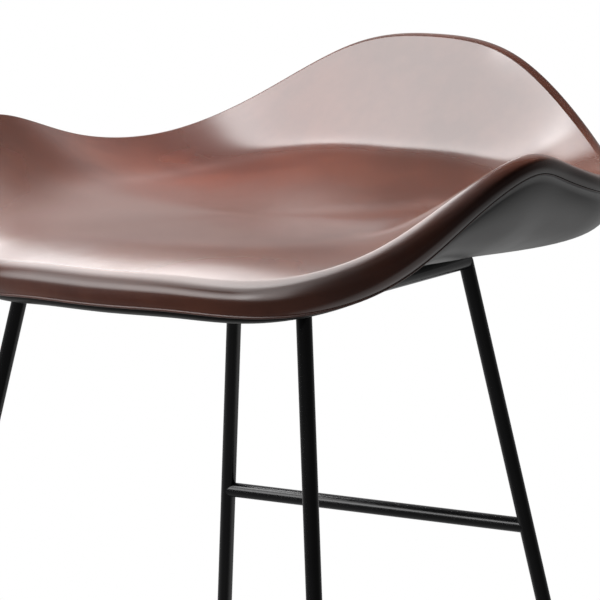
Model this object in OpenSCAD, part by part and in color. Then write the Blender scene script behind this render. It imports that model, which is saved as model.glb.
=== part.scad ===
// Upholstered bar stool: a three-lobed leather seat on a welded frame of round steel bar.
// Origin on the floor, midway between the four feet. The front faces -Y, left is -X.

/* [Frame] */
// Diameter of the round steel bar
bar_d = 12; // [10:0.5:14]
// Height of the side rails' centre lines above the floor
rail_h = 704; // [520:1:760]
// Length of a side rail between its two leg joints
rail_len = 264; // [230:1:290]
// Half the distance between the rails at their front joints
front_half = 127; // [110:1:140]
// Half the distance between the rails at their rear joints
rear_half = 108; // [95:1:125]
// Sideways lean of the legs, in degrees
side_lean = 9.1; // [5:0.1:12]
// Fore and aft lean of the legs, in degrees
end_lean = 10.2; // [6:0.1:12]
// Drop from the rails down to the rear brace bar
brace_drop = 214; // [150:1:300]
// Height of the footrest bar above the floor
footrest_h = 300; // [200:1:360]

/* [Seat straps] */
// Width of the two flat straps that carry the seat
strap_w = 30; // [24:1:40]
// Thickness of the straps
strap_t = 5; // [4:0.5:6]
// Half the distance between the two straps
strap_half = 75; // [55:1:90]
// Half the distance between the two screws in a strap
screw_half = 70; // [45:1:80]

/* [Seat] */
// Half width of the seat over the control stations of its side lobes
seat_half = 256; // [246:1:266]
// Reach of the front edge ahead of the frame's middle
front_reach = 205; // [195:1:215]
// Reach of the back lobe behind the frame's middle
back_reach = 261; // [250:1:262]
// Rise of the back lobe above the rails
back_rise = 160; // [140:1:180]
// Radius of the thick front edge
edge_r = 18.5; // [16.5:0.5:20]
// Thickness of the seat at its middle, covers included
seat_t = 32; // [30:0.5:38]
// Clear height between the side rails and the seat's underside
seat_lift = 8; // [4:0.5:10]
// How far the seat's lowest point lies ahead of the frame's middle
hub_ahead = 15; // [5:1:25]
// Thickness of the top and underside covers
skin_t = 2; // [1.5:0.1:2.2]
// Thickness of the moulded shell
shell_t = 9; // [7:0.5:10]
// Diameter of the welt in the edge seam
welt_d = 3.6; // [3:0.1:4]

/* [Fixings] */
// Thread diameter of the seat screws
screw_d = 6; // [5:1:8]
// How far the seat screws reach into the threaded inserts
screw_bite = 6; // [4:0.5:6]
// Diameter of the screw heads
head_d = 11; // [10:0.5:14]
// Height of the screw heads
head_h = 3.5; // [3:0.1:5]
// Key size of the socket in the screw heads
key_af = 4; // [3:1:5]
// Diameter of the washers under the heads
washer_d = 16; // [15:0.5:20]
// Thickness of the washers
washer_t = 1.6; // [1:0.1:2]
// Diameter of the rubber spacers
spacer_d = 24; // [20:1:28]
// Barrel diameter of the threaded inserts
insert_d = 9; // [8.5:0.5:12]
// Flange diameter of the threaded inserts
flange_d = 18; // [16:0.5:22]
// Flange thickness of the threaded inserts
flange_t = 1.5; // [1:0.1:2]

/* [Glides] */
// Outer diameter of the floor glides
glide_d = 18; // [16:0.5:22]
// How far a glide reaches up its leg
glide_h = 26; // [20:1:40]
// Sole under the end of the leg
sole_t = 6; // [4:0.5:8]

/* [Hidden] */

// Clearances: bar against bar before the weld, layer on layer, screw in hole, thread, glide on leg
weld_gap = 0.1;
layer_gap = 0.3;
hole_gap = 0.3;
thread_gap = 0.05;
glide_fit = 0.1;
// Overrun of every cut past the face it leaves
over = 1;
// How much shorter the threaded inserts are than the shell is thick
insert_short = 1;
// The screw heads' flat top, as a share of their diameter
head_top_share = 0.7;

// Rounding of the circles, from the smallest fixing to the largest bar
$fn = 48;

// Seat levels above the floor
strap_top = rail_h + strap_t / 2;
strap_bottom = rail_h - strap_t / 2;
under_z = rail_h + bar_d / 2 + seat_lift;
sitting_z = under_z + seat_t;

// Rim stations of one half of the seat, from the front's middle round to the back's middle.
// Sideways place, as shares of the half width
rim_side_shares = [0, 0.247, 0.48, 0.748, 0.887, 1, 0.953, 0.963, 0.827, 0.592, 0.284, 0];
// Fore and aft place, as shares of the front reach below zero and of the back reach above it
rim_fore_shares = [-0.994, -0.977, -0.877, -0.61, -0.351, -0.098, 0.138, 0.416, 0.686, 0.89, 0.994, 0.996];
// Height above the rails, as shares of the back lobe's rise
rim_rise_shares = [0.07, 0.084, 0.04, 0.157, 0.46, 0.669, 0.563, 0.434, 0.409, 0.616, 0.966, 0.993];
// Edge radius, as shares of the front edge's
rim_edge_shares = [1, 1, 1, 0.9, 0.61, 0.46, 0.52, 0.42, 0.41, 0.4, 0.39, 0.39];
// How far the edge's top corner reaches outwards, as shares of the edge radius
corner_shares = [1, 1, 1, 0.62, 0.45, 0.4, 0.4, 0.4, 0.35, 0.3, 0.3, 0.3];
// Where the top turns up or down on its way out, and how softly, as shares of the way
bend_shares = [0.8, 0.8, 0.8, 0.78, 0.72, 0.7, 0.7, 0.72, 0.8, 0.84, 0.8, 0.77];
soft_shares = [0.1, 0.1, 0.1, 0.1, 0.1, 0.1, 0.1, 0.08, 0.06, 0.04, 0.03, 0.03];
// How much of the top's rise comes after that bend, the rest being an even dish
fold_shares = [0.8, 0.8, 0.8, 0.8, 0.8, 0.8, 0.8, 0.8, 0.7, 0.62, 0.62, 0.62];
// The underside: how late it turns, as a power, and how round its turn is
turn_powers = [5, 5, 5, 5, 4.5, 4.5, 4.5, 4.4, 5, 5, 4.5, 4.5];
round_shares = [0.8, 0.8, 0.8, 0.7, 0.6, 0.5, 0.49, 0.4, 0.2, 0.56, 0.7, 0.7];
// Where the edge seam lies on its way round the edge, from the top face to the underside
seam_shares = [0.5, 0.5, 0.5, 0.78, 0.82, 0.95, 0.93, 0.92, 0.84, 0.82, 0.82, 0.82];

// Rings of the seat's faces from the middle out, as shares of the way
top_ring_shares = [0.25, 0.45, 0.60, 0.70, 0.78, 0.85, 0.92, 1];
under_ring_shares = [0.35, 0.55, 0.68, 0.78, 0.86, 0.92, 0.96, 0.985, 0.997, 1];
// How many of the underside's rings the stiff shell reaches; the foam goes round its edge from there
shell_rings = 6;
// Points between two stations, rings round the edge above and below the seam, and sides of the welt
span_steps = 2;
edge_steps = 5;
lip_steps = 3;
welt_sides = 8;

// Frame points: a leg's top joint and its place at a height above the floor
function joint_half(fore) = fore < 0 ? front_half : rear_half;
function leg_point(side, fore, z) =
    [side * (joint_half(fore) + (rail_h - z) * tan(side_lean)),
     fore * (rail_len / 2 + (rail_h - z) * tan(end_lean)),
     z];

// Vector helpers
function unit(v) = v / norm(v);
function mix(a, b, share) = a + (b - a) * share;
function smooth_bend(v, at, soft) =
    (sqrt((v - at) * (v - at) + soft * soft) + v - at) / 2
    - (sqrt(at * at + soft * soft) - at) / 2;
function bend_slope(v, at, soft) = (1 + (v - at) / sqrt((v - at) * (v - at) + soft * soft)) / 2;

// The rim: a closed cubic spline through weighted stations, mirrored about the middle
last_station = len(rim_side_shares) - 1;
function station(i, side) =
    [side * rim_side_shares[i] * seat_half,
     rim_fore_shares[i] * (rim_fore_shares[i] < 0 ? front_reach : back_reach),
     rail_h + rim_rise_shares[i] * back_rise,
     rim_edge_shares[i] * edge_r,
     bend_shares[i],
     soft_shares[i],
     fold_shares[i],
     turn_powers[i],
     round_shares[i],
     seam_shares[i],
     corner_shares[i]];
stations = concat([for (i = [0 : last_station]) station(i, 1)],
                  [for (i = [last_station - 1 : -1 : 1]) station(i, -1)]);
function wrapped(list, i) = list[(i + len(list)) % len(list)];
function spline(i, t) =
    (wrapped(stations, i - 1) * pow(1 - t, 3)
     + wrapped(stations, i) * (3 * pow(t, 3) - 6 * t * t + 4)
     + wrapped(stations, i + 1) * (1 + 3 * t + 3 * t * t - 3 * pow(t, 3))
     + wrapped(stations, i + 2) * pow(t, 3)) / 6;
rim = [for (i = [0 : len(stations) - 1], s = [0 : span_steps - 1]) spline(i, s / span_steps)];
rim_count = len(rim);

// Each rim point's place, edge radius, and the directions out of the edge and up from its top face
hub = [0, -hub_ahead, 0];
rim_place = [for (p = rim) [p[0], p[1], p[2]]];
rim_along = [for (i = [0 : rim_count - 1]) unit(wrapped(rim_place, i + 1) - wrapped(rim_place, i - 1))];
function flat_part(v) = [v[0], v[1], 0];
function face_rise(i) =
    (rim[i][2] - sitting_z)
    * (2 * (1 - rim[i][6]) + rim[i][6] * bend_slope(1, rim[i][4], rim[i][5])
       / smooth_bend(1, rim[i][4], rim[i][5]))
    / norm(flat_part(rim_place[i]) - hub);
function slope_out(i) = unit(unit(flat_part(rim_place[i]) - hub) + [0, 0, face_rise(i)]);
rim_out = [for (i = [0 : rim_count - 1])
           unit(slope_out(i) - rim_along[i] * (slope_out(i) * rim_along[i]))];
rim_up = [for (i = [0 : rim_count - 1]) cross(rim_out[i], rim_along[i])];

// A point on the rounded edge: turn 0 is its top face, 1 its underside
function edge_reach(i, turn) = mix(rim[i][10], 1, min(1, 2 * turn));
function edge_point(i, turn, inset) =
    rim_place[i]
    + (rim[i][3] - inset)
      * (cos(180 * turn) * rim_up[i] + edge_reach(i, turn) * sin(180 * turn) * rim_out[i]);
// A point on the top face and one on the underside, a share of the way out from the middle
function top_rise(i, v) =
    (1 - rim[i][6]) * v * v
    + rim[i][6] * smooth_bend(v, rim[i][4], rim[i][5]) / smooth_bend(1, rim[i][4], rim[i][5]);
function top_point(i, v, inset) =
    let (edge = edge_point(i, 0, inset), middle = hub + [0, 0, sitting_z - inset])
    flat_part(mix(middle, edge, v)) + [0, 0, mix(middle[2], edge[2], top_rise(i, v))];
function under_rise(i, v) = 1 - pow(1 - pow(v, rim[i][7]), rim[i][8]);
function under_point(i, v, inset) =
    let (edge = edge_point(i, 1, inset), middle = hub + [0, 0, under_z + inset])
    flat_part(mix(middle, edge, v)) + [0, 0, mix(middle[2], edge[2], under_rise(i, v))];

shell_ring_shares = [for (k = [0 : shell_rings - 1]) under_ring_shares[k]];
lip_ring_shares = [for (k = [len(under_ring_shares) - 2 : -1 : shell_rings - 1]) under_ring_shares[k]];

// Rings of a layer, from the middle out or round the edge
function top_rings(inset) =
    [for (v = top_ring_shares) [for (i = [0 : rim_count - 1]) top_point(i, v, inset)]];
function under_rings(inset, shares) =
    [for (v = shares) [for (i = [0 : rim_count - 1]) under_point(i, v, inset)]];
// The seam's half width, as a share of the turn round the edge at one rim point
function seam_half(i) = (welt_d / 2 + layer_gap) / (rim[i][3] * PI);
function top_edge_rings(inset) =
    [for (k = [1 : edge_steps]) [for (i = [0 : rim_count - 1])
        edge_point(i, (rim[i][9] - seam_half(i)) * k / edge_steps, inset)]];
function under_edge_rings(inset) =
    [for (k = [1 : lip_steps]) [for (i = [0 : rim_count - 1])
        edge_point(i, mix(1, rim[i][9] + seam_half(i), k / lip_steps), inset)]];
function full_edge_rings(inset) =
    [for (k = [1 : edge_steps + 1]) [for (i = [0 : rim_count - 1])
        edge_point(i, k / (edge_steps + 1), inset)]];
function reversed(list) = [for (i = [len(list) - 1 : -1 : 0]) list[i]];

// A closed solid through rings that start and end at a point
module ring_solid(first, rings, last) {
    n = len(rings[0]);
    m = len(rings);
    points = concat([first], [for (r = rings) each r], [last]);
    start_fan = [for (j = [0 : n - 1]) [0, 1 + j, 1 + (j + 1) % n]];
    band_low = [for (k = [0 : m - 2], j = [0 : n - 1])
                [1 + k * n + j, 1 + (k + 1) * n + j, 1 + (k + 1) * n + (j + 1) % n]];
    band_high = [for (k = [0 : m - 2], j = [0 : n - 1])
                 [1 + k * n + j, 1 + (k + 1) * n + (j + 1) % n, 1 + k * n + (j + 1) % n]];
    end_fan = [for (j = [0 : n - 1])
               [1 + (m - 1) * n + j, len(points) - 1, 1 + (m - 1) * n + (j + 1) % n]];
    polyhedron(points = points, faces = concat(start_fan, band_low, band_high, end_fan));
}

// A tube with a round section, closed on itself along the edge seam
module seam_tube(d) {
    n = welt_sides;
    function seam_middle(i) = edge_point(i, rim[i][9], 0);
    middles = [for (i = [0 : rim_count - 1]) seam_middle(i)];
    points = [for (i = [0 : rim_count - 1], j = [0 : n - 1])
              let (along = unit(wrapped(middles, i + 1) - wrapped(middles, i - 1)),
                   away = unit(cross(along, rim_up[i])),
                   across = cross(away, along))
              middles[i] + d / 2 * (cos(360 * j / n) * away + sin(360 * j / n) * across)];
    faces = [for (i = [0 : rim_count - 1], j = [0 : n - 1], half = [0, 1])
             let (a = i * n + j,
                  b = i * n + (j + 1) % n,
                  c = ((i + 1) % rim_count) * n + (j + 1) % n,
                  e = ((i + 1) % rim_count) * n + j)
             half == 0 ? [a, b, c] : [a, c, e]];
    polyhedron(points = points, faces = faces);
}

// A round bar between two points, its seam line turned a quarter away from the way it leans
module bar(from, to, d) {
    run = to - from;
    translate(from)
        rotate([0, acos(run[2] / norm(run)), atan2(run[1], run[0])])
            rotate(90) cylinder(h = norm(run), d = d);
}

// Screw places, one for each seat fixing
module at_screws(z) {
    for (side = [-1, 1], fore = [-1, 1])
        translate([side * screw_half, fore * strap_half, z]) children();
}

// Moulded plywood shell, with a stepped hole for each threaded insert
shell_low = skin_t + layer_gap;
shell_high = shell_low + shell_t;
module seat_shell() {
    color("burlywood")
        difference() {
            ring_solid(hub + [0, 0, under_z + shell_low],
                       concat(under_rings(shell_low, shell_ring_shares),
                              reversed(under_rings(shell_high, shell_ring_shares))),
                       hub + [0, 0, under_z + shell_high]);
            at_screws(under_z)
                cylinder(h = shell_high + over, d = insert_d + 2 * hole_gap);
            at_screws(under_z + shell_high - flange_t - hole_gap)
                cylinder(h = flange_t + hole_gap + over, d = flange_d + 2 * hole_gap);
        }
}

// Foam over the shell, wrapped round its edge
module seat_foam() {
    foam_inset = skin_t + layer_gap;
    foam_floor = shell_high + layer_gap;
    color("lemonchiffon")
        ring_solid(hub + [0, 0, sitting_z - foam_inset],
                   concat(top_rings(foam_inset),
                          full_edge_rings(foam_inset),
                          under_rings(foam_inset, lip_ring_shares),
                          reversed(under_rings(foam_floor, shell_ring_shares))),
                   hub + [0, 0, under_z + foam_floor]);
}

// Leather top cover: over the pan and lobes and round the edge to the seam
module top_cover() {
    color("saddlebrown")
        ring_solid(hub + [0, 0, sitting_z],
                   concat(top_rings(0),
                          top_edge_rings(0),
                          reversed(top_edge_rings(skin_t)),
                          reversed(top_rings(skin_t))),
                   hub + [0, 0, sitting_z - skin_t]);
}

// Underside cover, from the seam to the middle, with a hole at each screw
module underside_cover() {
    color("dimgray")
        difference() {
            ring_solid(hub + [0, 0, under_z],
                       concat(under_rings(0, under_ring_shares),
                              under_edge_rings(0),
                              reversed(under_edge_rings(skin_t)),
                              reversed(under_rings(skin_t, under_ring_shares))),
                       hub + [0, 0, under_z + skin_t]);
            at_screws(under_z - over)
                cylinder(h = skin_t + 2 * over, d = screw_d + 2 * hole_gap);
        }
}

// Welt: the leather piping in the edge seam
module edge_welt() {
    color("sienna")
        seam_tube(welt_d);
}

// Threaded inserts, let in flush with the shell's inner face
insert_h = shell_t - insert_short;
module threaded_inserts() {
    color("silver")
        at_screws(under_z + shell_high - insert_h)
            difference() {
                union() {
                    cylinder(h = insert_h, d = insert_d);
                    translate([0, 0, insert_h - flange_t])
                        cylinder(h = flange_t, d = flange_d);
                }
                translate([0, 0, -over])
                    cylinder(h = insert_h + 2 * over, d = screw_d + 2 * thread_gap);
            }
}

// Legs: straight bar with a ground round top, cut square above the glide's sole
leg_stop = sole_t / cos(end_lean);
module leg_bar(side, fore, d) {
    bar(leg_point(side, fore, rail_h), leg_point(side, fore, leg_stop), d);
    translate(leg_point(side, fore, rail_h)) sphere(d = d);
}
module leg(side, fore) {
    color("#1c1c1c") leg_bar(side, fore, bar_d);
}

// Side rails, coped at each end to the leg tops
module side_rail(side) {
    color("#1c1c1c")
        difference() {
            bar(leg_point(side, -1, rail_h), leg_point(side, 1, rail_h), bar_d);
            leg_bar(side, -1, bar_d + 2 * weld_gap);
            leg_bar(side, 1, bar_d + 2 * weld_gap);
        }
}

// Cross bars between the front or the rear legs, coped to them
module cross_bar(fore, z) {
    color("#1c1c1c")
        difference() {
            bar(leg_point(-1, fore, z), leg_point(1, fore, z), bar_d);
            leg_bar(-1, fore, bar_d + 2 * weld_gap);
            leg_bar(1, fore, bar_d + 2 * weld_gap);
        }
}

// Flat straps between the side rails, coped to them, with two screw holes each
module cross_rail(fore) {
    rail_share = (rail_len / 2 + fore * strap_half) / rail_len;
    half_len = mix(front_half, rear_half, rail_share);
    color("#1c1c1c")
        difference() {
            translate([-half_len, fore * strap_half - strap_w / 2, strap_bottom])
                cube([2 * half_len, strap_w, strap_t]);
            for (side = [-1, 1]) {
                bar(leg_point(side, -1, rail_h), leg_point(side, 1, rail_h), bar_d + 2 * weld_gap);
                translate([side * screw_half, fore * strap_half, strap_bottom - over])
                    cylinder(h = strap_t + 2 * over, d = screw_d + 2 * hole_gap);
            }
        }
}

// Rubber spacers between the straps and the seat
module seat_spacers() {
    spacer_h = under_z - strap_top - layer_gap;
    color("black")
        at_screws(strap_top)
            difference() {
                cylinder(h = spacer_h, d = spacer_d);
                translate([0, 0, -over])
                    cylinder(h = spacer_h + 2 * over, d = screw_d + 2 * hole_gap);
            }
}

// Washers under the straps
module screw_washers() {
    color("silver")
        at_screws(strap_bottom - washer_t)
            difference() {
                cylinder(h = washer_t, d = washer_d);
                translate([0, 0, -over])
                    cylinder(h = washer_t + 2 * over, d = screw_d + 2 * hole_gap);
            }
}

// Button-head socket screws, up through strap, spacer and cover into the inserts
module seat_screws() {
    head_low = strap_bottom - washer_t;
    screw_len = under_z + shell_high - insert_h + screw_bite - head_low;
    head_rim_h = head_h / 2;
    socket_depth = head_h / 2;
    color("dimgray")
        at_screws(head_low)
            difference() {
                union() {
                    cylinder(h = screw_len, d = screw_d);
                    translate([0, 0, -head_rim_h])
                        cylinder(h = head_rim_h, d = head_d);
                    translate([0, 0, -head_h])
                        cylinder(h = head_h - head_rim_h, d1 = head_top_share * head_d, d2 = head_d);
                }
                translate([0, 0, -head_h - over])
                    cylinder(h = socket_depth + over, d = key_af / cos(30), $fn = 6);
            }
}

// Floor glides: caps pushed over the leg ends, cut flat at the floor
module glide(side, fore) {
    foot = leg_point(side, fore, 0);
    below = leg_point(side, fore, -glide_d);
    reach = leg_point(side, fore, sole_t + glide_h);
    ground_half = 2 * glide_d;
    ground_depth = 2 * glide_d;
    color("#101010")
        difference() {
            bar(below, reach, glide_d);
            bar(leg_point(side, fore, leg_stop), leg_point(side, fore, sole_t + glide_h + glide_d),
                bar_d + 2 * glide_fit);
            translate([foot[0] - ground_half, foot[1] - ground_half, -ground_depth])
                cube([2 * ground_half, 2 * ground_half, ground_depth]);
        }
}

seat_shell();
seat_foam();
top_cover();
underside_cover();
edge_welt();
threaded_inserts();
leg(-1, -1);  // front_left_leg
leg(1, -1);  // front_right_leg
leg(-1, 1);  // rear_left_leg
leg(1, 1);  // rear_right_leg
side_rail(-1);  // left_side_rail
side_rail(1);  // right_side_rail
cross_rail(-1);  // front_cross_rail
cross_rail(1);  // rear_cross_rail
cross_bar(-1, footrest_h);  // footrest_bar
cross_bar(1, rail_h - brace_drop);  // rear_brace_bar
seat_spacers();
seat_screws();
screw_washers();
glide(-1, -1);  // front_left_glide
glide(1, -1);  // front_right_glide
glide(-1, 1);  // rear_left_glide
glide(1, 1);  // rear_right_glide
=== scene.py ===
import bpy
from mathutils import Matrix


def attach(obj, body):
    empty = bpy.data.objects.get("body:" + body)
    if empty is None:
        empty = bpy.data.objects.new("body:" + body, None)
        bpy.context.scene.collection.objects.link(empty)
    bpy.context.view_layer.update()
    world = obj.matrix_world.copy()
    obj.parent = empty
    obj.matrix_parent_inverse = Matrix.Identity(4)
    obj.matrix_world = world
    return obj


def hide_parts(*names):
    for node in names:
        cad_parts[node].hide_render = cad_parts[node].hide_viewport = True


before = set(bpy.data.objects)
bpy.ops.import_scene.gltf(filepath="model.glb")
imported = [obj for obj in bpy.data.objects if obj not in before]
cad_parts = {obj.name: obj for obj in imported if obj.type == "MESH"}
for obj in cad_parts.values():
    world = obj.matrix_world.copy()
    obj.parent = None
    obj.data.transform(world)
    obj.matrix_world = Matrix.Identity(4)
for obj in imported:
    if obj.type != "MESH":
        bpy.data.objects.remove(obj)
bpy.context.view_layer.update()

import math

import bmesh
import bpy
from mathutils import Quaternion, Vector

# Camera: at the photograph's angle, in front of the stool's right corner and a little above the
# seat. Its aim and distance were found from the legs, the rails and the rear brace.
mm = 0.001
camera_azimuth = math.radians(32.9)
camera_elevation = math.radians(8.53)
camera_aim = Vector((38.5 * mm, 0, 684.2 * mm))
camera_distance = 3600 * mm
camera_lens = 280.7
camera_back = Vector((math.sin(camera_azimuth) * math.cos(camera_elevation),
                      -math.cos(camera_azimuth) * math.cos(camera_elevation),
                      math.sin(camera_elevation)))
photo_camera = bpy.data.objects.new("photo_camera", bpy.data.cameras.new("photo_camera"))
photo_camera.data.lens = camera_lens
photo_camera.data.sensor_width = 36
photo_camera.data.clip_end = 100
photo_camera.location = camera_aim + camera_back * camera_distance
photo_camera.rotation_euler = (-camera_back).to_track_quat("-Z", "Y").to_euler()
bpy.context.collection.objects.link(photo_camera)
bpy.context.scene.camera = photo_camera


# Steel frame: legs, rails and cross bars of 12 mm round bar, welded and ground, then powder coated
# black. The coat is a fine semi-gloss skin with a slight orange peel.
def surface(name):
    """A material with its node tree, its shader and the piece's own coordinates."""
    made = bpy.data.materials.new(name)
    made.use_nodes = True
    nodes = made.node_tree.nodes
    place = nodes.new("ShaderNodeTexCoord").outputs["Object"]
    return made, nodes, made.node_tree.links, nodes["Principled BSDF"], place


def noise(nodes, links, place, scale, detail=2.0, rough=0.5):
    """The value of a noise whose lumps are about 1 / scale metres across."""
    made = nodes.new("ShaderNodeTexNoise")
    made.inputs["Scale"].default_value = scale
    made.inputs["Detail"].default_value = detail
    made.inputs["Roughness"].default_value = rough
    links.new(place, made.inputs["Vector"])
    return made.outputs["Fac"]


def blend_colours(nodes, links, share, stops):
    """A colour ramp over a share: stops are (place, linear colour)."""
    ramp = nodes.new("ShaderNodeValToRGB")
    marks = ramp.color_ramp.elements
    while len(marks) < len(stops):
        marks.new(0.5)
    for mark, (at, colour) in zip(marks, stops):
        mark.position = at
        mark.color = (*colour, 1)
    links.new(share, ramp.inputs["Fac"])
    return ramp.outputs["Color"]


def spread(nodes, links, value, low, high, to_low, to_high):
    """A value moved from one range into another, and kept inside it."""
    made = nodes.new("ShaderNodeMapRange")
    for slot_name, number in (("From Min", low), ("From Max", high),
                              ("To Min", to_low), ("To Max", to_high)):
        made.inputs[slot_name].default_value = number
    links.new(value, made.inputs["Value"])
    return made.outputs["Result"]


def raise_surface(nodes, links, shader, layers):
    """Bumps on top of each other: layers are (height value, height in metres)."""
    normal = None
    for height, depth in layers:
        made = nodes.new("ShaderNodeBump")
        made.inputs["Distance"].default_value = depth
        links.new(height, made.inputs["Height"])
        if normal:
            links.new(normal, made.inputs["Normal"])
        normal = made.outputs["Normal"]
    links.new(normal, shader.inputs["Normal"])


def wear(piece, material):
    """The piece shows one material only."""
    piece.data.materials.clear()
    piece.data.materials.append(material)


powder_coat, nodes, links, shader, place = surface("black_powder_coat")
coat_peel = noise(nodes, links, place, 900, 2)
coat_patches = noise(nodes, links, place, 14, 3)
coat_colour = blend_colours(nodes, links, coat_patches,
                            ((0.3, (0.003, 0.003, 0.0032)), (0.7, (0.006, 0.006, 0.0065))))
links.new(coat_colour, shader.inputs["Base Color"])
links.new(spread(nodes, links, coat_patches, 0.3, 0.7, 0.17, 0.24), shader.inputs["Roughness"])
shader.inputs["Specular IOR Level"].default_value = 0.4
raise_surface(nodes, links, shader, ((coat_peel, 0.00004),))
steel_bars = ("front_left_leg", "front_right_leg", "rear_left_leg", "rear_right_leg",
              "left_side_rail", "right_side_rail", "front_cross_rail", "rear_cross_rail",
              "footrest_bar", "rear_brace_bar")
for name in steel_bars:
    wear(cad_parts[name], powder_coat)


# Floor glides: moulded black plastic caps on the leg ends, matt with a fine moulded grain.
glide_plastic, nodes, links, shader, place = surface("glide_plastic")
glide_grain = noise(nodes, links, place, 1400, 2)
links.new(blend_colours(nodes, links, noise(nodes, links, place, 60, 2),
                        ((0.3, (0.010, 0.010, 0.010)), (0.7, (0.018, 0.018, 0.018)))),
          shader.inputs["Base Color"])
shader.inputs["Roughness"].default_value = 0.6
raise_surface(nodes, links, shader, ((glide_grain, 0.00005),))
for name in ("front_left_glide", "front_right_glide", "rear_left_glide", "rear_right_glide"):
    wear(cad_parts[name], glide_plastic)


# Seat fixings: rubber spacers, zinc plated washers and inserts, and black button-head screws.
spacer_rubber, nodes, links, shader, place = surface("spacer_rubber")
links.new(blend_colours(nodes, links, noise(nodes, links, place, 200, 3),
                        ((0.3, (0.012, 0.012, 0.012)), (0.7, (0.022, 0.021, 0.020)))),
          shader.inputs["Base Color"])
shader.inputs["Roughness"].default_value = 0.8
raise_surface(nodes, links, shader, ((noise(nodes, links, place, 1800, 2), 0.00005),))
wear(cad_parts["seat_spacers"], spacer_rubber)

zinc, nodes, links, shader, place = surface("zinc_plating")
zinc_bloom = noise(nodes, links, place, 350, 4)
links.new(blend_colours(nodes, links, zinc_bloom,
                        ((0.3, (0.42, 0.43, 0.44)), (0.7, (0.62, 0.62, 0.60)))),
          shader.inputs["Base Color"])
links.new(spread(nodes, links, zinc_bloom, 0.3, 0.7, 0.28, 0.45), shader.inputs["Roughness"])
shader.inputs["Metallic"].default_value = 1
for name in ("threaded_inserts", "screw_washers"):
    wear(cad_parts[name], zinc)

black_oxide, nodes, links, shader, place = surface("black_oxide")
oxide_bloom = noise(nodes, links, place, 500, 3)
links.new(blend_colours(nodes, links, oxide_bloom,
                        ((0.3, (0.015, 0.015, 0.016)), (0.7, (0.035, 0.034, 0.034)))),
          shader.inputs["Base Color"])
links.new(spread(nodes, links, oxide_bloom, 0.3, 0.7, 0.32, 0.5), shader.inputs["Roughness"])
shader.inputs["Metallic"].default_value = 0.6
wear(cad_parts["seat_screws"], black_oxide)


# Seat shell: moulded beech plywood inside the upholstery, with its grain along the stool's depth.
plywood, nodes, links, shader, place = surface("moulded_plywood")
grain_stretch = nodes.new("ShaderNodeMapping")
grain_stretch.inputs["Scale"].default_value = (1, 0.06, 1)
links.new(place, grain_stretch.inputs["Vector"])
wood_grain = noise(nodes, links, grain_stretch.outputs["Vector"], 260, 4)
links.new(blend_colours(nodes, links, wood_grain,
                        ((0.3, (0.42, 0.26, 0.13)), (0.7, (0.60, 0.42, 0.24)))),
          shader.inputs["Base Color"])
shader.inputs["Roughness"].default_value = 0.55
raise_surface(nodes, links, shader, ((wood_grain, 0.0001),))
wear(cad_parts["seat_shell"], plywood)


# Seat: moulded foam under one piece of smooth brown leather, pulled tight over the pan, the two
# side lobes and the back lobe, and round the thick front edge to the seam below. Its form is a
# sphere pressed between a rim curve and the middle of the pan.
rail_height = 704 * mm
seat_half = 256 * mm
front_reach = 205 * mm
back_reach = 261 * mm
back_rise = 160 * mm
edge_radius = 18.5 * mm
pan_height = rail_height + 46 * mm
under_height = rail_height + 14 * mm
pan_middle = Vector((0, -15 * mm, 0))
# Rim stations from the front's middle round the right side to the back's middle: sideways place,
# fore and aft place, rise, edge radius, outward reach of the edge's top corner, bend place, bend
# softness, fold, turn, roundness and seam, each as a share of the size that it follows
rim_station_shares = (
    (0.000, -0.994, 0.070, 1.00, 1.00, 0.80, 0.10, 0.80, 5.0, 0.80, 0.50),
    (0.247, -0.977, 0.084, 1.00, 1.00, 0.80, 0.10, 0.80, 5.0, 0.80, 0.50),
    (0.480, -0.877, 0.040, 1.00, 1.00, 0.80, 0.10, 0.80, 5.0, 0.80, 0.50),
    (0.748, -0.610, 0.157, 0.90, 0.62, 0.78, 0.10, 0.80, 5.0, 0.70, 0.78),
    (0.887, -0.351, 0.460, 0.61, 0.45, 0.72, 0.10, 0.80, 4.5, 0.60, 0.82),
    (1.000, -0.098, 0.669, 0.46, 0.40, 0.70, 0.10, 0.80, 4.5, 0.50, 0.95),
    (0.953, 0.138, 0.563, 0.52, 0.40, 0.70, 0.10, 0.80, 4.5, 0.49, 0.93),
    (0.963, 0.416, 0.434, 0.42, 0.40, 0.72, 0.08, 0.80, 4.4, 0.40, 0.92),
    (0.827, 0.686, 0.409, 0.41, 0.35, 0.80, 0.06, 0.70, 5.0, 0.20, 0.84),
    (0.592, 0.890, 0.616, 0.40, 0.30, 0.84, 0.04, 0.62, 5.0, 0.56, 0.82),
    (0.284, 0.994, 0.966, 0.39, 0.30, 0.80, 0.03, 0.62, 4.5, 0.70, 0.82),
    (0.000, 0.996, 0.993, 0.39, 0.30, 0.77, 0.03, 0.62, 4.5, 0.70, 0.82),
)


def station(number, side):
    """One rim station on the right (1) or the left (-1) side, in real sizes."""
    across, fore, rise, edge, *form = rim_station_shares[number]
    return (side * across * seat_half,
            fore * (front_reach if fore < 0 else back_reach),
            rail_height + rise * back_rise,
            edge * edge_radius,
            *form)


stations = ([station(number, 1) for number in range(len(rim_station_shares))]
            + [station(number, -1) for number in range(len(rim_station_shares) - 2, 0, -1)])


def rim_values(turn):
    """The rim's values at a share of the way round, on a closed cubic spline through the
    stations."""
    along = (turn % 1) * len(stations)
    first = int(along) - 1
    t = along - int(along)
    weights = ((1 - t) ** 3, 3 * t ** 3 - 6 * t * t + 4, 1 + 3 * t + 3 * t * t - 3 * t ** 3, t ** 3)
    near = [stations[(first + step) % len(stations)] for step in range(4)]
    return [sum(w * s[k] for w, s in zip(weights, near)) / 6 for k in range(len(near[0]))]


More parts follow.
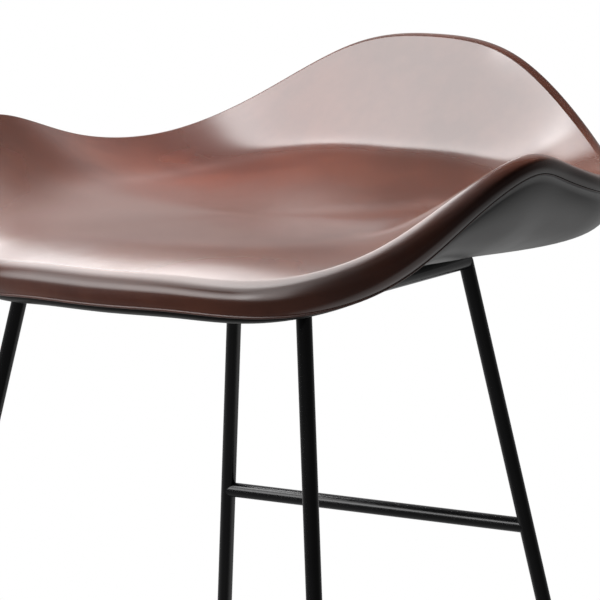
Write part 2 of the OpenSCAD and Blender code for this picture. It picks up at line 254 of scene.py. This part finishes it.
def bend(v, at, soft):
    """A line from 0 that stays low up to a place and rises beyond it, with a soft corner there."""
    return (math.hypot(v - at, soft) + v - at) / 2 - (math.hypot(at, soft) - at) / 2


def bend_slope(v, at, soft):
    """The slope of that line."""
    return (1 + (v - at) / math.hypot(v - at, soft)) / 2


def held(value):
    """A value kept between 0 and 1."""
    return min(1, max(0, value))


class RimPoint:
    """The rim at one place: its edge centre, and the directions out of the edge and up from it."""

    def __init__(self, turn):
        step = 0.002
        values = rim_values(turn)
        self.centre = Vector(values[:3])
        self.radius, self.corner = values[3:5]
        self.bend_at, self.bend_soft, self.fold = values[5:8]
        self.under_turn, self.roundness, self.seam = values[8:]
        ahead = Vector(rim_values(turn + step)[:3])
        behind = Vector(rim_values(turn - step)[:3])
        along = (ahead - behind).normalized()
        outward = Vector((self.centre.x, self.centre.y, 0)) - pan_middle
        full = bend(1, self.bend_at, self.bend_soft)
        climb = (self.centre.z - pan_height) / outward.length * (
            2 * (1 - self.fold) + self.fold * bend_slope(1, self.bend_at, self.bend_soft) / full)
        slope = (outward.normalized() + Vector((0, 0, climb))).normalized()
        self.out = (slope - along * slope.dot(along)).normalized()
        self.up = self.out.cross(along)

    def edge(self, turn, inset):
        """A point on the rounded edge: turn 0 is its top face, 1 its underside."""
        reach_out = self.corner + (1 - self.corner) * min(1, 2 * turn)
        return self.centre + (self.radius - inset) * (
            math.cos(math.pi * turn) * self.up
            + reach_out * math.sin(math.pi * turn) * self.out)

    def top(self, v, inset):
        """A point on the top face, from the pan's middle (0) to the edge (1)."""
        full = bend(1, self.bend_at, self.bend_soft)
        rise = (1 - self.fold) * v * v + self.fold * bend(v, self.bend_at, self.bend_soft) / full
        edge = self.edge(0, inset)
        middle = pan_middle + Vector((0, 0, pan_height - inset))
        return Vector((*middle.lerp(edge, v).xy, middle.z + (edge.z - middle.z) * rise))

    def under(self, v, inset):
        """A point on the underside, from the middle (0) to the edge (1)."""
        rise = 1 - max(0, 1 - v ** self.under_turn) ** self.roundness
        edge = self.edge(1, inset)
        middle = pan_middle + Vector((0, 0, under_height + inset))
        return Vector((*middle.lerp(edge, v).xy, middle.z + (edge.z - middle.z) * rise))


rim_columns = 352
rim_points = [RimPoint(column / rim_columns) for column in range(rim_columns)]


def pressed_sphere(name, rows, form):
    """A closed sphere pressed into shape. At a rim point and a share of the way down, form gives a
    place and how deep it lies in the crease beside the seam, where shade is painted dark."""
    mesh = bmesh.new()
    bmesh.ops.create_uvsphere(mesh, u_segments=rim_columns, v_segments=rows, radius=1)
    crease_shade = mesh.verts.layers.float.new("crease_shade")
    for vert in mesh.verts:
        share = math.acos(max(-1, min(1, vert.co.z))) / math.pi
        turn = (math.atan2(vert.co.x, -vert.co.y) / (2 * math.pi)) % 1
        point = rim_points[round(turn * rim_columns) % rim_columns]
        vert.co, vert[crease_shade] = form(point, share)
    bmesh.ops.recalc_face_normals(mesh, faces=mesh.faces)
    if mesh.calc_volume(signed=True) < 0:
        bmesh.ops.reverse_faces(mesh, faces=mesh.faces)
    for face in mesh.faces:
        face.smooth = True
    data = bpy.data.meshes.new(name)
    mesh.to_mesh(data)
    mesh.free()
    piece = bpy.data.objects.new(name, data)
    bpy.context.collection.objects.link(piece)
    return piece


seat_rows = 120
# Shares of the way down the sphere at which the top face, the edge above the seam and the edge
# below it end
top_share = 0.60
seam_share = 0.74
edge_share = 0.84
# Behind the seam the skin steps in, and lies that far inside the underside panel
tuck_depth = 2.5 * mm
tuck_steepness = 8
under_inset = 3 * mm
under_spacing = 1.5
# Widths of the painted shade in the crease above the seam, in shares of the way down, and how fast
# the painted shade deepens as the edge gets thinner
side_shade_width = 0.08
back_shade_width = 0.09
back_begins = 100 * mm
crease_shade_rate = 2.5


def seat_form(point, share):
    """The seat's skin: its top face, its edge down to the seam, the tuck behind the seam, and the
    side on the shell. Its painted crease shade, dark beside the seam, is deeper where the edge is
    thin."""
    if share <= top_share:
        place = point.top(math.sin(share / top_share * math.pi / 2), 0)
    elif share <= seam_share:
        place = point.edge(point.seam * (share - top_share) / (seam_share - top_share), 0)
    elif share <= edge_share:
        tuck = (share - seam_share) / (edge_share - seam_share)
        place = point.edge(point.seam + (1 - point.seam) * tuck,
                           min(1, tuck_steepness * tuck) * tuck_depth)
    else:
        inward = (share - edge_share) / (1 - edge_share)
        place = point.under(1 - inward ** under_spacing, under_inset)
    thin = held(crease_shade_rate * (1 - point.radius / edge_radius))
    wide = side_shade_width if place.y < back_begins else back_shade_width
    return place, thin * held(1 + (share - seam_share) / wide)


seat = pressed_sphere("leather_seat", seat_rows, seat_form)

leather, nodes, links, shader, place = surface("brown_leather")
full_gloss = 0.5
shaded_gloss = 0.12


def blob(middle, inner, outer):
    """A soft round patch of the hide: 1 within the inner radius and 0 beyond the outer."""
    away = nodes.new("ShaderNodeVectorMath")
    away.operation = "DISTANCE"
    links.new(place, away.inputs[0])
    away.inputs[1].default_value = middle
    return spread(nodes, links, away.outputs["Value"], inner, outer, 1, 0)


def tint(nodes, links, share, colour, over, blend="MIX"):
    """A colour with another laid over it by a share."""
    made = nodes.new("ShaderNodeMix")
    made.data_type = "RGBA"
    made.blend_type = blend
    links.new(share, made.inputs["Factor"])
    links.new(colour, made.inputs[6])
    made.inputs[7].default_value = (*over, 1)
    return made.outputs[2]


def crease_shade_depth(nodes):
    """How far a place lies in the painted shade of the crease beside the seam, from the mesh's own
    attribute.
    """
    made = nodes.new("ShaderNodeAttribute")
    made.attribute_name = "crease_shade"
    return made.outputs["Fac"]


clouds = noise(nodes, links, place, 9, 3, 0.55)
mottle = noise(nodes, links, place, 60, 3, 0.5)
pores = noise(nodes, links, place, 1300, 2, 0.5)
cloud_mix = nodes.new("ShaderNodeMath")
cloud_mix.operation = "MULTIPLY_ADD"
links.new(mottle, cloud_mix.inputs[0])
cloud_mix.inputs[1].default_value = 0.25
links.new(clouds, cloud_mix.inputs[2])
hide_colour = blend_colours(nodes, links, cloud_mix.outputs[0],
                            ((0.48, (0.046, 0.0140, 0.0085)),
                             (0.62, (0.064, 0.0205, 0.0130)),
                             (0.76, (0.084, 0.0280, 0.0170))))
crease_shade_share = crease_shade_depth(nodes)
# Painted reflection: a paler, greyer patch in the middle of the pan stands for the grey sheen that
# lies there.
pan_painted_sheen = tint(nodes, links, blob((-0.06, -0.04, 0.75), 0.05, 0.19), hide_colour,
                (0.092, 0.042, 0.033))
red_back = tint(nodes, links, blob((-0.14, 0.13, 0.77), 0.03, 0.17), pan_painted_sheen,
                (1.3, 1.05, 1.0), "MULTIPLY")
# Painted shade: the leather's colour turns near black in the crease beside the seam.
links.new(tint(nodes, links, crease_shade_share, red_back, (0.012, 0.006, 0.005)),
          shader.inputs["Base Color"])
links.new(spread(nodes, links, cloud_mix.outputs[0], 0.48, 0.76, 0.24, 0.18),
          shader.inputs["Roughness"])
# The gloss drops in the painted crease shade, and on a dull patch of the pan's right front.
dull_pan = spread(nodes, links, blob((0.135, -0.075, 0.75), 0.06, 0.14), 0, 1, 0, 0.38)
dull_and_shaded = nodes.new("ShaderNodeMath")
dull_and_shaded.operation = "MAXIMUM"
links.new(crease_shade_share, dull_and_shaded.inputs[0])
links.new(dull_pan, dull_and_shaded.inputs[1])
links.new(spread(nodes, links, dull_and_shaded.outputs[0], 0, 1, full_gloss, shaded_gloss),
          shader.inputs["Specular IOR Level"])
raise_surface(nodes, links, shader, ((clouds, 0.0003), (mottle, 0.00003), (pores, 0.000006)))
wear(seat, leather)
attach(seat, "root")
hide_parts("seat_foam", "top_cover")


# Underside: a dark grey panel over the shell's outside, from the edge seam to the middle, smooth
# with a satin face.
panel_rows = 80
panel_thickness = 2 * mm
# Shares of the way up the sphere for the outer face and for its edge, and where the painted shade
# of the crease beside the seam starts and how wide it fades in
face_share = 0.40
edge_band = 0.10
panel_shade_start = 0.395
panel_shade_fade = 0.06


def panel_form(point, down):
    """The panel's skin, from the bottom up: its outer face, its edge to the seam, and then the same
    way back inside."""
    share = 1 - down
    if share < face_share:
        place = point.under(math.sin(share / face_share * math.pi / 2), 0)
    elif share < 0.5:
        place = point.edge(1 + (point.seam - 1) * (share - face_share) / edge_band, 0)
    elif share < 1 - face_share:
        place = point.edge(point.seam + (1 - point.seam) * (share - 0.5) / edge_band,
                           panel_thickness)
    else:
        back = (share - (1 - face_share)) / face_share
        place = point.under(math.cos(back * math.pi / 2), panel_thickness)
    return place, held((share - panel_shade_start) / panel_shade_fade)


underside = pressed_sphere("underside_panel", panel_rows, panel_form)
satin, nodes, links, shader, place = surface("underside_satin")
satin_clouds = noise(nodes, links, place, 20, 3)
seam_shade_share = crease_shade_depth(nodes)
satin_colour = blend_colours(nodes, links, satin_clouds,
                             ((0.3, (0.018, 0.0165, 0.0155)), (0.7, (0.028, 0.0265, 0.0255))))
# Painted shade: the panel's colour darkens, and its gloss drops, in the crease beside the seam.
links.new(tint(nodes, links, seam_shade_share, satin_colour, (0.006, 0.0055, 0.005)),
          shader.inputs["Base Color"])
links.new(spread(nodes, links, seam_shade_share, 0, 1, full_gloss, shaded_gloss),
          shader.inputs["Specular IOR Level"])
links.new(spread(nodes, links, satin_clouds, 0.3, 0.7, 0.32, 0.42), shader.inputs["Roughness"])
raise_surface(nodes, links, shader, ((noise(nodes, links, place, 700, 3), 0.00004),))
wear(underside, satin)
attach(underside, "root")
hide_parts("underside_cover")


# Welt: a thin leather piping sewn into the seam between the leather and the underside panel, a
# hairline at the sides and the back.
welt_radius = 1.2 * mm
welt_path = bpy.data.curves.new("edge_piping", "CURVE")
welt_path.dimensions = "3D"
welt_path.bevel_depth = welt_radius
welt_path.bevel_resolution = 3
welt_line = welt_path.splines.new("POLY")
welt_line.points.add(rim_columns - 1)
welt_line.use_cyclic_u = True
for knot, point in zip(welt_line.points, rim_points):
    knot.co = (*point.edge(point.seam, 0), 1)
    knot.radius = 0.25 + 0.75 * held(point.radius / edge_radius * 2 - 1)
welt = bpy.data.objects.new("edge_piping", welt_path)
bpy.context.collection.objects.link(welt)
piping, nodes, links, shader, place = surface("leather_piping")
links.new(blend_colours(nodes, links, noise(nodes, links, place, 60, 3),
                        ((0.3, (0.050, 0.017, 0.012)), (0.7, (0.075, 0.026, 0.018)))),
          shader.inputs["Base Color"])
shader.inputs["Roughness"].default_value = 0.35
raise_surface(nodes, links, shader, ((noise(nodes, links, place, 900, 3), 0.00004),))
welt_path.materials.append(piping)
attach(welt, "root")
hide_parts("edge_welt")


# Floor: a pale disc under the stool. It takes the stool's shadow, and the room's light alone falls
# on the stool.
floor_radius = 1.5
floor_mesh = bmesh.new()
bmesh.ops.create_circle(floor_mesh, cap_ends=True, segments=96, radius=floor_radius)
floor_data = bpy.data.meshes.new("studio_floor")
floor_mesh.to_mesh(floor_data)
floor_mesh.free()
floor = bpy.data.objects.new("studio_floor", floor_data)
bpy.context.collection.objects.link(floor)
pale_floor, nodes, links, shader, place = surface("pale_floor")
shader.inputs["Base Color"].default_value = (0.80, 0.80, 0.80, 1)
shader.inputs["Roughness"].default_value = 0.9
wear(floor, pale_floor)
floor.visible_glossy = False
floor.visible_diffuse = False


# Lights: a large softbox close above the seat, brightest over its right front and fading to the
# left and the front, with a small card under it for the right end of the back lobe; two strips in
# front, for the front edge and the right lobe; and soft fills that only tint the leather.
def level_ramp(nodes, links, share, stops):
    """A level over a share, through stops of (place, level)."""
    return blend_colours(nodes, links, share, [(at, (level, level, level)) for at, level in stops])


def softbox(name, middle, aim, turn, width, depth, radiance, across=None, along=None, bent=None,
            glossy=True):
    """An area light turned about its aim, seen only in gloss or only as fill. Its level changes
    across it and along it. A bent one's band of levels from 0.25 to 0.75 lies between the near
    and the far edge that are given as (place across, near, far)."""
    made = bpy.data.lights.new(name, "AREA")
    made.shape = "RECTANGLE"
    made.size = width
    made.size_y = depth
    made.energy = radiance * math.pi * width * depth
    if across:
        made.use_nodes = True
        nodes = made.node_tree.nodes
        links = made.node_tree.links
        place = nodes.new("ShaderNodeSeparateXYZ")
        links.new(nodes.new("ShaderNodeNewGeometry").outputs["Parametric"], place.inputs[0])
        level = nodes.new("ShaderNodeMix")
        level.data_type = "RGBA"
        level.blend_type = "MULTIPLY"
        level.inputs["Factor"].default_value = 1
        links.new(level_ramp(nodes, links, place.outputs["X"], across), level.inputs[6])
        share = place.outputs["Y"]
        if bent:
            in_band = nodes.new("ShaderNodeMapRange")
            in_band.clamp = False
            in_band.inputs["To Min"].default_value = 0.25
            in_band.inputs["To Max"].default_value = 0.75
            links.new(share, in_band.inputs["Value"])
            for edge, slot_name in ((1, "From Min"), (2, "From Max")):
                edge_line = [(stop[0], stop[edge]) for stop in bent]
                links.new(level_ramp(nodes, links, place.outputs["X"], edge_line),
                          in_band.inputs[slot_name])
            share = in_band.outputs["Result"]
        links.new(level_ramp(nodes, links, share, along), level.inputs[7])
        links.new(level.outputs[2], nodes["Emission"].inputs["Color"])
    lamp = bpy.data.objects.new(name, made)
    lamp.location = middle
    facing = (Vector(middle) - Vector(aim)).to_track_quat("Z", "Y")
    lamp.rotation_euler = (facing @ Quaternion((0, 0, 1), math.radians(turn))).to_euler()
    lamp.visible_camera = False
    lamp.visible_glossy = glossy
    lamp.visible_diffuse = not glossy
    bpy.context.collection.objects.link(lamp)
    return lamp


seat_aim = (0, 0, 0.76)
softbox("overhead_softbox", (-0.55, -0.10, 1.30), (-0.55, -0.10, 0), turn=180,
        width=1.8, depth=1.7, radiance=12,
        across=((0, 0.18), (0.11, 0.24), (0.22, 0.36), (0.33, 0.60), (0.44, 0.80), (0.56, 0.92),
                (0.67, 1.0), (0.95, 1.1), (0.985, 0.6), (1, 0.1)),
        bent=((0, 0.44, 1), (0.22, 0.31, 0.94), (0.305, 0.29, 0.865), (0.395, 0.27, 0.785),
              (0.455, 0.25, 0.735), (0.52, 0.23, 0.695), (0.585, 0.21, 0.685),
              (0.711, 0.17, 0.66), (0.806, 0.17, 0.576), (0.861, 0.17, 0.476),
              (0.917, 0.18, 0.40), (1, 0.22, 0.29)),
        along=((0, 0.22), (0.20, 0.26), (0.29, 0.55), (0.40, 0.95), (0.52, 0.92), (0.61, 0.84),
               (0.67, 0.88), (0.72, 1.0), (0.745, 0.95), (0.765, 0.045), (0.85, 0.045),
               (0.90, 0.02), (1, 0.006)))
softbox("back_card", (0.0505, 0.230, 0.95), (0.0505, 0.230, 0), turn=180,
        width=0.085, depth=0.09, radiance=7,
        across=((0, 1.0), (0.6, 0.9), (1, 0.4)),
        along=((0, 1.0), (0.55, 1.0), (0.80, 0.4), (1, 0.15)))
front_strip = softbox("front_strip", (-0.93, -2.0, 1.40), seat_aim, turn=0,
                      width=5.2, depth=1.25, radiance=8.0,
                      across=((0, 0.3), (0.35, 0.75), (0.5, 0.85), (0.75, 0.85), (1, 0.8)),
                      along=((0, 0.25), (0.2, 1), (0.55, 1), (0.8, 0.5), (1, 0.35)))
right_strip = softbox("right_strip", (0.72, -1.28, 1.35), (0, 0, 0.80), turn=0,
                      width=0.62, depth=1.6, radiance=3.5,
                      across=((0, 0.6), (0.3, 1), (0.68, 1), (0.85, 0.3), (1, 0.03)),
                      along=((0, 0.3), (0.25, 1), (0.6, 1), (1, 0.6)))
# The strips light only these pieces, so that the front legs stay black.
strip_lit = bpy.data.collections.new("lit_by_the_strips")
for piece in (seat, underside, welt,
              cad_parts["rear_brace_bar"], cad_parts["footrest_bar"]):
    strip_lit.objects.link(piece)
for strip in (front_strip, right_strip):
    strip.light_linking.receiver_collection = strip_lit
softbox("left_fill", (-1.6, 1.0, 2.95), seat_aim, turn=0,
        width=1.8, depth=1.8, radiance=34, glossy=False)
softbox("back_fill", (0, 2.6, 2.6), seat_aim, turn=0,
        width=1.6, depth=1.6, radiance=10, glossy=False)
softbox("front_fill", (-1.5, -2.0, 0.3), seat_aim, turn=0,
        width=2.0, depth=1.2, radiance=8, glossy=False)


# Surroundings: white to the camera. To the stool they are a pale backdrop and floor behind it,
# which darken upwards and towards the front, with a soft glow high on the back wall and another
# on the floor behind the right side.
studio = bpy.data.worlds.new("studio")
studio.use_nodes = True
bpy.context.scene.world = studio
nodes = studio.node_tree.nodes
links = studio.node_tree.links
direction = nodes.new("ShaderNodeTexCoord").outputs["Generated"]
parts = nodes.new("ShaderNodeSeparateXYZ")
links.new(direction, parts.inputs[0])


def level_towards(towards, low, high, to_low, to_high):
    """A level that changes as the view turns towards a direction."""
    made = nodes.new("ShaderNodeVectorMath")
    made.operation = "DOT_PRODUCT"
    links.new(direction, made.inputs[0])
    made.inputs[1].default_value = towards
    return spread(nodes, links, made.outputs["Value"], low, high, to_low, to_high)


def joined(operation, *values):
    """One value worked out from others."""
    made = nodes.new("ShaderNodeMath")
    made.operation = operation
    for value, slot_in in zip(values, made.inputs):
        links.new(value, slot_in)
    return made.outputs[0]


back_fade = level_towards((-0.6, 0.8, 0), -0.35, 0.95, 0.25, 1.0)
up_share = spread(nodes, links, parts.outputs["Z"], -1, 1, 0, 1)
up_fade = level_ramp(nodes, links, up_share,
                     ((0.25, 0.60), (0.40, 0.45), (0.50, 0.37), (0.58, 0.37), (0.63, 0.42),
                      (0.66, 0.35), (0.70, 0.22), (0.76, 0.12), (0.85, 0.08), (0.93, 0.03)))
wall_glow = level_towards((-0.510, 0.677, 0.530), 0.93, 0.985, 0, 0.38)
floor_glow = level_towards((0.5125, 0.430, -0.743), 0.78, 0.93, 0, 0.60)
room_level = joined("MULTIPLY_ADD", back_fade, up_fade, joined("ADD", wall_glow, floor_glow))
room = nodes["Background"]
links.new(room_level, room.inputs["Color"])
backdrop = nodes.new("ShaderNodeBackground")
backdrop.inputs["Color"].default_value = (1, 1, 1, 1)
seen = nodes.new("ShaderNodeMixShader")
links.new(nodes.new("ShaderNodeLightPath").outputs["Is Camera Ray"], seen.inputs["Fac"])
links.new(room.outputs[0], seen.inputs[1])
links.new(backdrop.outputs[0], seen.inputs[2])
links.new(seen.outputs[0], nodes["World Output"].inputs["Surface"])
bpy.context.scene.view_settings.view_transform = "Standard"
